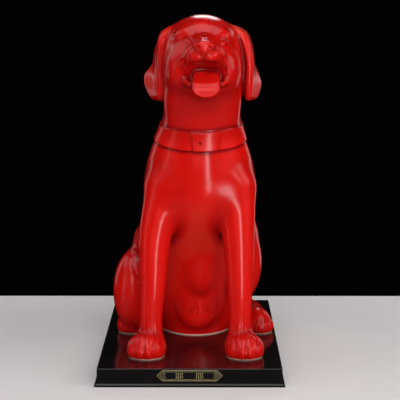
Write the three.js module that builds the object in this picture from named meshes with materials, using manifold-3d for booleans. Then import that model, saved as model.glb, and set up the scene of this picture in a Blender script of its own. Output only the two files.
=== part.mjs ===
// A glazed porcelain dog, sitting with its mouth open, on a lacquered plinth with a nameplate.
// Millimetres, +Z up. The origin is the middle of the plinth's underside, and the dog faces -Y.
import * as THREE from 'three';
import { MarchingCubes } from 'three/addons/objects/MarchingCubes.js';
import { mergeVertices } from 'three/addons/utils/BufferGeometryUtils.js';
import Module from 'manifold-3d';

// Driving dimensions
const overallWidth = 260;
const overallLength = 410;
const overallHeight = 500;
const plinthHeight = 25;
const headX = 17;
const pawX = 7.5;

const wasm = await Module();
wasm.setup();

// Fields: a form gives the distance from a point to its surface, negative inside

function smoothUnion(a, b, blend) {
  const overlap = Math.max(blend - Math.abs(a - b), 0);
  return Math.min(a, b) - (overlap * overlap) / (4 * blend);
}

function smoothCut(a, b, blend) {
  return -smoothUnion(-a, b, blend);
}

function meanOf(places) {
  return [0, 1, 2].map((i) => places.reduce((sum, place) => sum + place[i], 0) / places.length);
}

function ellipsoid(at, radii, blend, turn = [0, 0, 0]) {
  const euler = new THREE.Euler(...turn.map(THREE.MathUtils.degToRad));
  const back = new THREE.Matrix4().makeRotationFromEuler(euler).invert().elements;
  const [rx, ry, rz] = radii;
  const distance = (x, y, z) => {
    const dx = x - at[0];
    const dy = y - at[1];
    const dz = z - at[2];
    const u = (back[0] * dx + back[4] * dy + back[8] * dz) / rx;
    const v = (back[1] * dx + back[5] * dy + back[9] * dz) / ry;
    const w = (back[2] * dx + back[6] * dy + back[10] * dz) / rz;
    const scaled = Math.hypot(u, v, w);
    const steep = Math.hypot(u / rx, v / ry, w / rz);
    return steep > 0 ? (scaled * (scaled - 1)) / steep : -Math.min(rx, ry, rz);
  };
  return { distance, at, reach: Math.max(rx, ry, rz), blend };
}

function hermite(part, a, slopeA, b, slopeB) {
  const part2 = part * part;
  const part3 = part2 * part;
  const startShare = 2 * part3 - 3 * part2 + 1;
  const bend = (part3 - 2 * part2 + part) * slopeA + (part3 - part2) * slopeB;
  return startShare * a + (1 - startShare) * b + bend;
}

const leastGap = 1e-4;

// A smooth line through points of any number of values, each span cut into steps. A wider gap weighs more
function smoothLine(points, steps) {
  const beyond = (end, inner) => end.map((value, i) => 2 * value - inner[i]);
  const last = points.length - 1;
  const ends = [beyond(points[0], points[1]), ...points, beyond(points[last], points[last - 1])];
  const line = [];
  for (let i = 1; i <= last; i++) {
    const [p0, p1, p2, p3] = ends.slice(i - 1, i + 3);
    const gap = (a, b) => Math.max(Math.sqrt(Math.hypot(...a.map((value, n) => b[n] - value))), leastGap);
    const [before, within, after] = [gap(p0, p1), gap(p1, p2), gap(p2, p3)];
    for (let step = 0; step < steps; step++) {
      line.push(
        p1.map((value, n) => {
          const rise = (p2[n] - value) / within;
          const slope1 = (value - p0[n]) / before - (p2[n] - p0[n]) / (before + within) + rise;
          const slope2 = rise - (p3[n] - value) / (within + after) + (p3[n] - p2[n]) / after;
          return hermite(step / steps, value, slope1 * within, p2[n], slope2 * within);
        }),
      );
    }
  }
  line.push(points[last]);
  return line;
}

// A round bar that tapers from link a to link b
function taperDistance(x, y, z, a, b) {
  const lengthX = b[0] - a[0];
  const lengthY = b[1] - a[1];
  const lengthZ = b[2] - a[2];
  const dot = (x - a[0]) * lengthX + (y - a[1]) * lengthY + (z - a[2]) * lengthZ;
  const part = THREE.MathUtils.clamp(dot / (lengthX ** 2 + lengthY ** 2 + lengthZ ** 2), 0, 1);
  const away = Math.hypot(x - a[0] - lengthX * part, y - a[1] - lengthY * part, z - a[2] - lengthZ * part);
  return away - THREE.MathUtils.lerp(a[3], b[3], part);
}

const limbSteps = 4;

// A limb swells and bends smoothly through its joints, each [x, y, z, radius]
function limb(joints, blend) {
  const steps = joints.length > 2 ? limbSteps : 1;
  const spots = smoothLine(joints.map(([x, y, z]) => [x, y, z]), steps);
  const girths = smoothLine(joints.map((joint) => [joint[3]]), steps);
  const chain = spots.map((spot, i) => [...spot, girths[i][0]]);
  const at = meanOf(chain);
  const spans = chain.map((link) => Math.hypot(...at.map((value, i) => link[i] - value)) + link[3]);
  const distance = (x, y, z) => {
    let nearest = Infinity;
    for (let i = 1; i < chain.length; i++) {
      nearest = Math.min(nearest, taperDistance(x, y, z, chain[i - 1], chain[i]));
    }
    return nearest;
  };
  return { distance, at, reach: Math.max(...spans), blend };
}

const ribbonSteps = 4;

// A flat ribbon along a line at a constant x. Joints are [y, z, half width, half thickness]
function ribbon(x, joints, blend) {
  const chain = smoothLine(joints, ribbonSteps);
  const at = meanOf(chain.map(([y, z]) => [x, y, z]));
  const spans = chain.map(([y, z, wide]) => Math.hypot(y - at[1], z - at[2]) + wide);
  const distance = (px, py, pz) => {
    const across = Math.abs(px - x);
    let nearest = Infinity;
    for (let i = 1; i < chain.length; i++) {
      const [a, b] = [chain[i - 1], chain[i]];
      const lengthY = b[0] - a[0];
      const lengthZ = b[1] - a[1];
      const dot = (py - a[0]) * lengthY + (pz - a[1]) * lengthZ;
      const part = THREE.MathUtils.clamp(dot / (lengthY ** 2 + lengthZ ** 2), 0, 1);
      const away = Math.hypot(py - a[0] - lengthY * part, pz - a[1] - lengthZ * part);
      const wide = THREE.MathUtils.lerp(a[2], b[2], part);
      const thick = THREE.MathUtils.lerp(a[3], b[3], part);
      nearest = Math.min(nearest, Math.hypot(away, Math.max(across - wide + thick, 0)) - thick);
    }
    return nearest;
  };
  return { distance, at, reach: Math.max(...spans), blend };
}

// The values of a table of rows at one height, where each row starts with its height
function rowAt(rows, height) {
  let i = 1;
  while (i < rows.length - 1 && rows[i][0] < height) i++;
  const [low, high] = [rows[i - 1], rows[i]];
  const part = THREE.MathUtils.clamp((height - low[0]) / (high[0] - low[0]), 0, 1);
  return low.slice(1).map((value, n) => THREE.MathUtils.lerp(value, high[n + 1], part));
}

const flapSteps = 6;

// A hanging flap: at each height a bar runs from its front edge to its rear edge. Rows rise from the tip,
// each [z, front x, front y, rear x, rear y, half thickness]
function flap(rows, blend, rounding) {
  const line = smoothLine(rows, flapSteps);
  const [low, high] = [line[0][0], line[line.length - 1][0]];
  const at = meanOf(line.flatMap(([z, frontX, frontY, rearX, rearY]) => [[frontX, frontY, z], [rearX, rearY, z]]));
  const spans = line.map(([z, frontX, frontY, rearX, rearY, half]) => {
    const toFront = Math.hypot(frontX - at[0], frontY - at[1], z - at[2]);
    const toRear = Math.hypot(rearX - at[0], rearY - at[1], z - at[2]);
    return Math.max(toFront, toRear) + half;
  });
  const distance = (x, y, z) => {
    const [frontX, frontY, rearX, rearY, half] = rowAt(line, z);
    const [alongX, alongY] = [rearX - frontX, rearY - frontY];
    const dot = (x - frontX) * alongX + (y - frontY) * alongY;
    const part = THREE.MathUtils.clamp(dot / (alongX ** 2 + alongY ** 2), 0, 1);
    const side = Math.hypot(x - frontX - alongX * part, y - frontY - alongY * part) - half;
    return -smoothUnion(-side, (high - low) / 2 - Math.abs(z - (high + low) / 2), rounding);
  };
  return { distance, at, reach: Math.max(...spans), blend };
}

// Forms that melt together first and then join the rest with a blend of their own
function group(forms, blend) {
  const at = meanOf(forms.map((form) => form.at));
  const spans = forms.map((form) => Math.hypot(...at.map((value, i) => form.at[i] - value)) + form.reach);
  const distance = (x, y, z) => {
    let d = forms[0].distance(x, y, z);
    for (const form of forms.slice(1)) d = smoothUnion(d, form.distance(x, y, z), form.blend);
    return d;
  };
  return { distance, at, reach: Math.max(...spans), blend };
}

function cut(form) {
  return { ...form, cut: true };
}

// Torso and neck: oval sections at rising heights, each with its middle in X, its front and back in Y
// and its half width
const torsoSections = [
  { z: 0, x: 7, front: -22, back: 142, half: 54 },
  { z: 25, x: 7, front: -26, back: 148, half: 60 },
  { z: 67, x: 5, front: -38, back: 152, half: 72 },
  { z: 100, x: 5, front: -48, back: 145, half: 82 },
  { z: 135, x: 5, front: -60, back: 130, half: 87 },
  { z: 170, x: 6, front: -80, back: 106, half: 86 },
  { z: 200, x: 9, front: -102, back: 82, half: 80 },
  { z: 235, x: 13, front: -126, back: 56, half: 80 },
  { z: 265, x: 13.5, front: -131, back: 34, half: 80 },
  { z: 295, x: 13.5, front: -129, back: 14, half: 74 },
  { z: 320, x: 14, front: -127, back: 0, half: 66 },
  { z: 340, x: 15.2, front: -124, back: -10, half: 58.6 },
  { z: 362, x: 16.3, front: -121, back: -19, half: 53.4 },
  { z: 380, x: 16.5, front: -119, back: -24, half: 50.5 },
  { z: 400, x: 17, front: -117, back: -28, half: 48 },
  { z: 440, x: 17, front: -112, back: -38, half: 42 },
];
const torsoTop = 425;
const torsoCrown = 24;

function sectionAt(z) {
  const last = torsoSections.length - 1;
  const above = torsoSections.findIndex((section) => section.z > z);
  const i = Math.max(above < 0 ? last : above, 1);
  const pick = (index) => torsoSections[THREE.MathUtils.clamp(index, 0, last)];
  const [p, a, b, q] = [pick(i - 2), pick(i - 1), pick(i), pick(i + 1)];
  const rise = b.z - a.z;
  const part = THREE.MathUtils.clamp((z - a.z) / rise, 0, 1);
  return ['x', 'front', 'back', 'half'].map((key) => {
    const slopeA = ((b[key] - p[key]) / (b.z - p.z)) * rise;
    const slopeB = ((q[key] - a[key]) / (q.z - a.z)) * rise;
    return hermite(part, a[key], slopeA, b[key], slopeB);
  });
}

// The sections are worked out once at every half millimetre, up to a little above the torso's top
const sectionStep = 0.5;
const sectionCount = (torsoTop + torsoCrown) / sectionStep;
const sectionTable = Array.from({ length: sectionCount }, (_, i) => sectionAt(i * sectionStep));

function torsoDistance(x, y, z) {
  const row = THREE.MathUtils.clamp(z / sectionStep, 0, sectionTable.length - 2);
  const low = sectionTable[Math.floor(row)];
  const high = sectionTable[Math.floor(row) + 1];
  const part = row - Math.floor(row);
  const [middle, front, back, half] = low.map((value, i) => value + (high[i] - value) * part);
  const depth = (back - front) / 2;
  const u = (x - middle) / half;
  const v = (y - (front + back) / 2) / depth;
  const scaled = Math.hypot(u, v);
  const steep = Math.hypot(u / half, v / depth);
  const side = steep > 0 ? (scaled * (scaled - 1)) / steep : -half;
  return -smoothUnion(-side, torsoTop - z, torsoCrown);
}

// Limbs. Side is -1 for the limb on -X and +1 for the one on +X
const leg = { wrist: 63, middle: 61.5, elbow: 58.5, shoulder: 48, blend: 20 };

function foreleg(side) {
  const at = (spread) => pawX + side * spread;
  const joints = [
    [at(leg.shoulder) + 7, -90, 254, 30],
    [at(leg.elbow) + 2, -104, 192, 23],
    [at(leg.middle) + 1, -116, 118, 18],
    [at(leg.wrist), -118, 72, 16],
    [at(leg.wrist), -120, 38, 18],
  ];
  return [limb(joints, leg.blend)];
}

// The pad's place and radii are shares of the paw's width, length and height
const pad = { ahead: 0.42, up: 0.3, halfWidth: 0.5, halfLength: 0.6, halfHeight: 0.7, blend: 8 };
const toe = {
  count: 4,
  radii: [6.6, 11, 10],
  up: 9.5,
  tilt: -14,
  fan: 50,
  spread: 0.84,
  ahead: 0.87,
  curve: 1.1,
  blend: 5,
};

// A paw spreads from its heel at (x, y) towards its toes, turned by heading degrees about Z
function paw(x, y, heading, width, length, height) {
  const turn = THREE.MathUtils.degToRad(heading);
  const place = (across, ahead) => [
    x + across * Math.cos(turn) + ahead * Math.sin(turn),
    y + across * Math.sin(turn) - ahead * Math.cos(turn),
  ];
  const padRadii = [width * pad.halfWidth, length * pad.halfLength, height * pad.halfHeight];
  const padAt = [...place(0, length * pad.ahead), plinthHeight + height * pad.up];
  const forms = [ellipsoid(padAt, padRadii, pad.blend, [0, 0, heading])];
  for (let i = 0; i < toe.count; i++) {
    const share = (i + 0.5) / toe.count - 0.5;
    const spot = place(share * width * toe.spread, length * (toe.ahead - toe.curve * share * share));
    const turned = [toe.tilt, 0, heading - share * toe.fan];
    forms.push(ellipsoid([...spot, plinthHeight + toe.up], toe.radii, toe.blend, turned));
  }
  return forms;
}

const frontFoot = { spread: 67.3, heel: -111, heading: 4, width: 56, length: 50, height: 33 };

function frontPaw(side) {
  const { spread, heel, heading, width, length, height } = frontFoot;
  return paw(pawX + side * spread, heel, side * heading, width, length, height);
}

// The left knee lies low and the right one stands higher and closer
const haunches = {
  left: {
    knee: ellipsoid([-82, 12, 86], [34.5, 52, 64], 12, [-18, 0, -8]),
    flank: ellipsoid([-40, 30, 160], [46, 42, 32], 20),
  },
  right: {
    knee: ellipsoid([72, 14, 130], [34, 50, 62], 12, [-18, 0, 8]),
    flank: ellipsoid([50, 30, 178], [45, 42, 36], 20),
  },
};
const rump = { x: 4, spread: 46, y: 76, z: 104, radii: [48, 66, 78], tilt: -30, blend: 26 };

function haunch(side) {
  const { knee, flank } = side < 0 ? haunches.left : haunches.right;
  const rumpAt = [rump.x + side * rump.spread, rump.y, rump.z];
  return [knee, flank, ellipsoid(rumpAt, rump.radii, rump.blend, [rump.tilt, 0, 0])];
}

const hindFoot = { leftX: -87, rightX: 100, heel: 22, heading: 8, width: 41, length: 41, height: 30 };

function hindPaw(side) {
  const x = side < 0 ? hindFoot.leftX : hindFoot.rightX;
  const hock = [
    [x - side * 6, 66, 42, 15],
    [x, 14, 42, 16],
  ];
  const { heel, heading, width, length, height } = hindFoot;
  return [limb(hock, 10), ...paw(x, heel, side * heading, width, length, height)];
}

function tail() {
  const joints = [
    [6, 128, 66, 20],
    [10, 150, 46, 15],
    [22, 170, 38, 12.5],
    [44, 184, 35, 10],
    [66, 187, 33, 7.5],
  ];
  return [limb(joints, 12)];
}

function belly() {
  return [
    ellipsoid([14, -50, 126], [10, 8, 22], 16, [14, 0, 0]),
    ellipsoid([13, -28, 58], [24, 9, 19], 18),
  ];
}

// Head: spread is measured out from its middle plane, which turns a little towards +X at the muzzle
const headPivotY = -90;
const headTurn = -0.025;

function mirrored(side, spread, y, z) {
  return [headX + (y - headPivotY) * headTurn + side * spread, y, z];
}

const crown = { y: -86, z: 455, halfWidth: 53, halfLength: 52 };

function skull() {
  const middle = (y, z) => mirrored(0, 0, y, z);
  const forms = [
    ellipsoid(middle(crown.y, crown.z), [crown.halfWidth, crown.halfLength, overallHeight - crown.z], 14),
    ellipsoid(middle(-88, 440), [49, 53, 48], 14),
    ellipsoid(middle(-106, 438), [50, 40, 38], 14),
    ellipsoid(middle(-112, 466), [36, 31, 25], 14),
    ellipsoid(middle(-134, 444), [37, 35, 26], 16),
    ellipsoid(middle(-154, 454), [16, 34, 15], 10),
    ellipsoid(middle(-98, 407), [50, 34, 34], 20),
    ellipsoid(middle(-104, 392), [43, 32, 27], 26),
    ellipsoid(middle(-102, 368), [44, 25, 30], 30),
    ellipsoid(mirrored(1, 3, -138, 401), [29, 38, 12], 12, [-4, 0, 0]),
  ];
  for (const side of [-1, 1]) {
    const cheek = ellipsoid(mirrored(side, 33, -118, 425), [18, 34, 24], 16);
    const muzzlePad = ellipsoid(mirrored(side, 13.5, -167, 446), [15.5, 21, 13], 7, [6, 0, side * -12]);
    const brow = ellipsoid(mirrored(side, 23, -127, 474), [13, 9, 7], 10, [0, side * 14, 0]);
    forms.push(cheek, muzzlePad, brow);
  }
  return forms;
}

// The mouth gapes a little to +X of the nose, and the tongue hangs over the lower lip to a rounded tip
const mouthShift = 4;
const tongueLine = [
  [-126, 427, 14, 5],
  [-148, 422, 17, 5],
  [-167, 417, 18.5, 4.8],
  [-179, 410.5, 18.8, 4.2],
  [-184, 404, 18.4, 3.8],
  [-186, 398.5, 16.8, 3.6],
  [-186.4, 395, 14.4, 3.4],
  [-186.6, 392.4, 11.4, 3.2],
  [-186.6, 390.8, 7.5, 3],
];

function mouth() {
  const at = (spread, y, z) => mirrored(1, mouthShift + spread, y, z);
  const forms = [
    cut(ellipsoid(at(0, -166, 424.5), [30, 42, 14.5], 4, [-14, 0, 0])),
    ribbon(at(0, -170, 410)[0], tongueLine, 3),
    ellipsoid(at(-7, -158, 422.5), [6, 9, 4.5], 4, [16, 0, 0]),
    ellipsoid(at(6.5, -164, 420.5), [6, 9, 4.5], 4, [16, 0, 0]),
  ];
  for (const side of [-1, 1]) {
    const lip = [
      [...at(side * 31, -140, 413), 4.5],
      [...at(side * 28, -155, 406), 4.5],
      [...at(side * 20, -170, 402), 4.5],
    ];
    forms.push(limb(lip, 7));
  }
  return forms;
}

const nosePad = { y: -182, z: 460, radii: [13.5, 9.5, 9.5] };
const nostril = { spread: 8.6, drop: 2, radii: [3, 5, 2.7] };

function nose() {
  const forms = [
    ellipsoid(mirrored(0, 0, nosePad.y, nosePad.z), nosePad.radii, 2, [-14, 0, 0]),
    ellipsoid(mirrored(0, 0, nosePad.y - 1, nosePad.z - 6.5), [8, 8, 7], 3),
  ];
  for (const side of [-1, 1]) {
    const at = mirrored(side, nostril.spread, nosePad.y - nosePad.radii[1], nosePad.z - nostril.drop);
    forms.push(cut(ellipsoid(at, nostril.radii, 1.5, [0, side * 24, 0])));
  }
  forms.push(cut(limb([[...mirrored(0, 0, -192, 450), 1.2], [...mirrored(0, 0, -190, 441), 1.5]], 1.5)));
  return forms;
}

const eye = { spread: 22.5, y: -133, z: 465, ball: [5, 5.6, 3.6], socket: [6.5, 5.4, 2.6], socketAhead: 9 };

function eyes() {
  const forms = [];
  for (const side of [-1, 1]) {
    const socketAt = mirrored(side, eye.spread, eye.y - eye.socketAhead, eye.z + 0.5);
    forms.push(cut(ellipsoid(socketAt, eye.socket, 4, [0, side * -4, side * 18])));
    forms.push(ellipsoid(mirrored(side, eye.spread, eye.y, eye.z), eye.ball, 1.2));
  }
  return forms;
}

// Ears hang as flaps beside the cheeks with a roll along the front edge. Rows rise from the tip,
// each [height, spread of the front edge, spread of the rear edge, half thickness]
const leftEar = [
  [378, 57, 68, 6],
  [390, 57, 70, 6.5],
  [402, 56, 75, 6.5],
  [415, 56, 75, 6],
  [430, 56.5, 65, 5.5],
  [446, 56.5, 62.5, 5.5],
  [464, 55, 56, 6.5],
  [474, 49, 51, 8],
  [486, 35, 36, 8],
];
const rightEar = [
  [378, 64, 74, 4.5],
  [390, 64, 76, 5.5],
  [402, 64, 78.5, 6],
  [415, 64.5, 75.5, 6],
  [430, 65, 69.5, 6],
  [446, 63, 67.5, 6.5],
  [464, 58, 62.5, 7],
  [474, 52, 56.5, 8],
  [486, 36, 39.5, 8],
];
const earFrontY = [[378, -92], [402, -99], [432, -101], [464, -98], [486, -90]];
const earRearY = [[378, -74], [390, -62], [402, -56], [415, -53], [448, -60], [486, -70]];
const earRoot = { spread: 54, y: -80, z: 424, radii: [10, 19, 38], blend: 8 };
const earShape = { roll: 4.6, rollBlend: 2, rounding: 9, blend: 5 };

function ear(side) {
  const rows = (side < 0 ? leftEar : rightEar).map(([z, front, rear, half]) => {
    const [frontY] = rowAt(earFrontY, z);
    const [rearY] = rowAt(earRearY, z);
    const [frontX] = mirrored(side, front, frontY, z);
    const [rearX] = mirrored(side, rear, rearY, z);
    return [z, frontX, frontY, rearX, rearY, half];
  });
  const roll = rows.slice(1, -1).map(([z, frontX, frontY]) => [frontX, frontY, z, earShape.roll]);
  const root = ellipsoid(mirrored(side, earRoot.spread, earRoot.y, earRoot.z), earRoot.radii, earRoot.blend);
  const leaf = flap(rows, earShape.blend, earShape.rounding);
  return [group([leaf, root, limb(roll, earShape.rollBlend)], earShape.blend)];
}

const dogForms = [
  ...tail(),
  ...belly(),
  ...[-1, 1].flatMap((side) => [...haunch(side), ...hindPaw(side), ...foreleg(side), ...frontPaw(side)]),
  ...skull(),
  ...mouth(),
  ...nose(),
  ...eyes(),
  ...ear(-1),
  ...ear(1),
];

// The field stops a little below the plinth's top, where the dog is cut flat later
const belowPlinthTop = 4;

function dogDistance(x, y, z) {
  let d = torsoDistance(x, y, z);
  for (const form of dogForms) {
    const clear = Math.hypot(x - form.at[0], y - form.at[1], z - form.at[2]) - form.reach;
    if (clear > (form.cut ? -d : d) + form.blend) continue;
    const e = form.distance(x, y, z);
    d = form.cut ? smoothCut(d, e, form.blend) : smoothUnion(d, e, form.blend);
  }
  return Math.max(d, plinthHeight - belowPlinthTop - z);
}

// The field becomes a surface in a box of cells around the dog. Blocks of cells that the surface can't
// reach take one value
const grid = {
  cells: 152,
  block: 4,
  margin: 12,
  leastDistance: 0.05,
  mostTriangles: 170000,
  farBlocks: 1.6,
};
const dogBox = new THREE.Box3(
  new THREE.Vector3(-124, -198, plinthHeight - 8),
  new THREE.Vector3(128, 200, overallHeight),
).expandByScalar(grid.margin);

function surfaceOf(distance, box) {
  const { cells, block } = grid;
  const cubes = new MarchingCubes(cells, new THREE.Material(), false, false, grid.mostTriangles);
  const half = box.getSize(new THREE.Vector3()).divideScalar(2);
  const middle = box.getCenter(new THREE.Vector3());
  const place = (i, axis) => middle[axis] + half[axis] * ((i * 2) / cells - 1);
  const blockReach = (half.length() / cells) * block * grid.farBlocks;
  const centre = block / 2;
  cubes.isolation = 0;
  const fillBlock = (i, j, k) => {
    const rough = distance(place(i + centre, 'x'), place(j + centre, 'y'), place(k + centre, 'z'));
    const far = Math.abs(rough) > blockReach;
    for (let n = 0; n < block ** 3; n++) {
      const a = i + (n % block);
      const b = j + (Math.floor(n / block) % block);
      const c = k + Math.floor(n / block ** 2);
      const value = far ? rough : distance(place(a, 'x'), place(b, 'y'), place(c, 'z'));
      const clear = Math.max(Math.abs(value), grid.leastDistance) * (value < 0 ? -1 : 1);
      cubes.field[a + cells * (b + cells * c)] = -clear;
    }
  };
  for (let k = 0; k < cells; k += block) {
    for (let j = 0; j < cells; j += block) {
      for (let i = 0; i < cells; i += block) fillBlock(i, j, k);
    }
  }
  cubes.update();
  const positions = cubes.positionArray.slice(0, cubes.count * 3);
  const geometry = new THREE.BufferGeometry();
  geometry.setAttribute('position', new THREE.BufferAttribute(positions, 3));
  geometry.scale(half.x, half.y, half.z);
  geometry.translate(middle.x, middle.y, middle.z);
  return mergeVertices(geometry, 1e-6);
}

// Edge collapse: the edge whose loss moves the surface least goes first, by the planes its ends have met.
// A short edge goes before a long one, and no collapse may fold a face over
const collapse = { lengthWeight: 1e-3, leastFace: 1e-3, leastTurnCosine: 0.3 };
const quadricTerms = 10;

function quadricOf(a, b, c) {
  const normal = new THREE.Vector3().subVectors(b, a).cross(new THREE.Vector3().subVectors(c, a));
  const area = normal.length();
  if (area > 0) normal.divideScalar(area);
  const plane = [normal.x, normal.y, normal.z, -normal.dot(a)];
  return plane.flatMap((value, i) => plane.slice(i).map((other) => value * other * area));
}

function quadricCost(q, p) {
  const squares = q[0] * p.x * p.x + q[4] * p.y * p.y + q[7] * p.z * p.z + q[9];
  const products = q[1] * p.x * p.y + q[2] * p.x * p.z + q[5] * p.y * p.z;
  const lines = q[3] * p.x + q[6] * p.y + q[8] * p.z;
  return squares + 2 * (products + lines);
}

class CostHeap {
  items = [];
  push(item) {
    const items = this.items;
    let i = items.push(item) - 1;
    while (i > 0) {
      const up = (i - 1) >> 1;
      if (items[up].cost <= item.cost) break;
      items[i] = items[up];
      i = up;
    }
    items[i] = item;
  }
  pop() {
    const items = this.items;
    const top = items[0];
    const item = items.pop();
    if (items.length === 0) return top;
    let i = 0;
    for (;;) {
      let down = 2 * i + 1;
      if (down >= items.length) break;
      if (down + 1 < items.length && items[down + 1].cost < items[down].cost) down++;
      if (items[down].cost >= item.cost) break;
      items[i] = items[down];
      i = down;
    }
    items[i] = item;
    return top;
  }
}

function simplified(geometry, wantedTriangles) {
  const position = geometry.getAttribute('position');
  const pointAt = (_, i) => new THREE.Vector3().fromBufferAttribute(position, i);
  const points = Array.from({ length: position.count }, pointAt);
  const faces = [];
  const around = points.map(() => new Set());
  const quadrics = points.map(() => new Array(quadricTerms).fill(0));
  const stamp = new Uint32Array(points.length);
  const index = geometry.index.array;
  for (let i = 0; i < index.length; i += 3) {
    const face = [index[i], index[i + 1], index[i + 2]];
    if (new Set(face).size < 3) continue;
    const terms = quadricOf(...face.map((v) => points[v]));
    for (const v of face) {
      around[v].add(faces.length);
      terms.forEach((term, n) => (quadrics[v][n] += term));
    }
    faces.push(face);
  }
  const neighbours = (v) => {
    const found = new Set([...around[v]].flatMap((f) => faces[f]));
    found.delete(v);
    return found;
  };
  const heap = new CostHeap();
  const offer = (a, b) => {
    const sum = quadrics[a].map((term, n) => term + quadrics[b][n]);
    const middle = new THREE.Vector3().addVectors(points[a], points[b]).multiplyScalar(0.5);
    let best = null;
    for (const spot of [middle, points[a], points[b]]) {
      const cost = quadricCost(sum, spot);
      if (!best || cost < best.cost) best = { cost, spot: spot.clone() };
    }
    const length = points[a].distanceToSquared(points[b]);
    const cost = best.cost + collapse.lengthWeight * length;
    heap.push({ cost, spot: best.spot, a, b, stamps: stamp[a] + stamp[b] });
  };
  for (let v = 0; v < points.length; v++) {
    for (const w of [...neighbours(v)].filter((other) => v < other)) offer(v, w);
  }

  const flips = (v, other, spot) => {
    const edgeA = new THREE.Vector3();
    const edgeB = new THREE.Vector3();
    const normalOf = (corners) => {
      edgeA.subVectors(corners[1], corners[0]);
      edgeB.subVectors(corners[2], corners[0]);
      return edgeA.cross(edgeB).clone();
    };
    for (const f of around[v]) {
      if (faces[f].includes(other)) continue;
      const before = normalOf(faces[f].map((w) => points[w]));
      const after = normalOf(faces[f].map((w) => (w === v ? spot : points[w])));
      if (after.length() < collapse.leastFace) return true;
      if (after.normalize().dot(before.normalize()) < collapse.leastTurnCosine) return true;
    }
    return false;
  };

  let left = faces.length;
  while (left > wantedTriangles && heap.items.length > 0) {
    const { a, b, spot, stamps } = heap.pop();
    if (!around[a].size || !around[b].size || stamp[a] + stamp[b] !== stamps) continue;
    const shared = [...neighbours(a)].filter((v) => neighbours(b).has(v));
    if (shared.length !== 2 || flips(a, b, spot) || flips(b, a, spot)) continue;
    points[a].copy(spot);
    quadrics[b].forEach((term, n) => (quadrics[a][n] += term));
    for (const f of [...around[b]]) {
      if (faces[f].includes(a)) {
        for (const v of faces[f]) around[v].delete(f);
        left--;
      } else {
        faces[f][faces[f].indexOf(b)] = a;
        around[a].add(f);
      }
    }
    around[b].clear();
    const touched = neighbours(a);
    stamp[a]++;
    for (const v of touched) offer(a, v);
  }

  const renumber = new Map();
  const corners = [];
  const kept = [];
  faces.forEach((face, f) => {
    if (!around[face[0]].has(f)) return;
    for (const v of face) {
      if (!renumber.has(v)) {
        renumber.set(v, renumber.size);
        kept.push(...points[v].toArray());
      }
      corners.push(renumber.get(v));
    }
  });
  const result = new THREE.BufferGeometry();
  result.setAttribute('position', new THREE.Float32BufferAttribute(kept, 3));
  result.setIndex(corners);
  return result;
}

// Solids: geometry to manifold and back

function solidOf(geometry) {
  const bare = geometry.clone();
  bare.deleteAttribute('normal');
  bare.deleteAttribute('uv');
  const merged = mergeVertices(bare, 1e-4);
  const vertProperties = new Float32Array(merged.getAttribute('position').array);
  const triVerts = new Uint32Array(merged.index.array);
  return new wasm.Manifold(new wasm.Mesh({ numProp: 3, vertProperties, triVerts }));
}

function geometryOf(solid) {
  const mesh = solid.getMesh();
  const geometry = new THREE.BufferGeometry();
  geometry.setAttribute('position', new THREE.BufferAttribute(mesh.vertProperties, 3));
  geometry.setIndex(new THREE.BufferAttribute(mesh.triVerts, 1));
  geometry.computeVertexNormals();
  return geometry;
}

// The collar is a band proud of the neck, cut from a swollen neck by a slab that rises to the nape
const collar = {
  proud: 2.4,
  height: 22,
  frontZ: 325,
  frontY: -127,
  slope: 0.2,
  sides: 40,
  levels: 9,
  neckHeights: 2.5,
};

function collarSolid() {
  const bottom = collar.frontZ - collar.height;
  const top = bottom + collar.neckHeights * collar.height;
  const positions = [];
  const corners = [];
  for (let level = 0; level < collar.levels; level++) {
    const z = THREE.MathUtils.lerp(bottom, top, level / (collar.levels - 1));
    const [middle, front, back, half] = sectionAt(z);
    for (let i = 0; i < collar.sides; i++) {
      const angle = (i / collar.sides) * 2 * Math.PI;
      const x = middle + (half + collar.proud) * Math.cos(angle);
      const y = (front + back) / 2 + ((back - front) / 2 + collar.proud) * Math.sin(angle);
      positions.push(x, y, z);
    }
  }
  for (let level = 1; level < collar.levels; level++) {
    for (let i = 0; i < collar.sides; i++) {
      const low = (level - 1) * collar.sides;
      const next = (i + 1) % collar.sides;
      corners.push(low + i, low + next, low + collar.sides + next);
      corners.push(low + i, low + collar.sides + next, low + collar.sides + i);
    }
  }
  const firstOfTop = (collar.levels - 1) * collar.sides;
  for (let i = 1; i < collar.sides - 1; i++) {
    corners.push(0, i + 1, i, firstOfTop, firstOfTop + i, firstOfTop + i + 1);
  }
  const swollen = new THREE.BufferGeometry();
  swollen.setAttribute('position', new THREE.Float32BufferAttribute(positions, 3));
  swollen.setIndex(corners);
  const slab = new THREE.BoxGeometry(overallWidth, overallLength, collar.height);
  slab.rotateX(Math.atan(collar.slope));
  slab.translate(0, collar.frontY, collar.frontZ);
  return solidOf(swollen).intersect(solidOf(slab));
}

const dogTriangles = 8300;

function dogGeometry() {
  const rough = surfaceOf(dogDistance, dogBox);
  const clay = solidOf(simplified(rough, dogTriangles));
  const below = new THREE.BoxGeometry(2 * overallWidth, 2 * overallLength, 2 * plinthHeight);
  return geometryOf(clay.add(collarSolid()).subtract(solidOf(below)));
}

// Plinth: a flat block whose sides flare out in a cove to a low foot
const plinth = { inset: 3.5, footHeight: 2, coveHeight: 5, topEdge: 0.8, coveSteps: 5 };

function plinthProfile() {
  const profile = [
    [0, 0],
    [0, plinth.footHeight],
  ];
  for (let i = 0; i <= plinth.coveSteps; i++) {
    const angle = (i / plinth.coveSteps) * (Math.PI / 2);
    const inset = plinth.inset * Math.sin(angle);
    const z = plinth.footHeight + plinth.coveHeight * (1 - Math.cos(angle));
    profile.push([inset, z]);
  }
  profile.push([plinth.inset, plinthHeight - plinth.topEdge]);
  profile.push([plinth.inset + plinth.topEdge, plinthHeight]);
  const repeats = (level, i) => i > 0 && level.every((value, n) => value === profile[i - 1][n]);
  return profile.filter((level, i) => !repeats(level, i));
}

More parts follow.
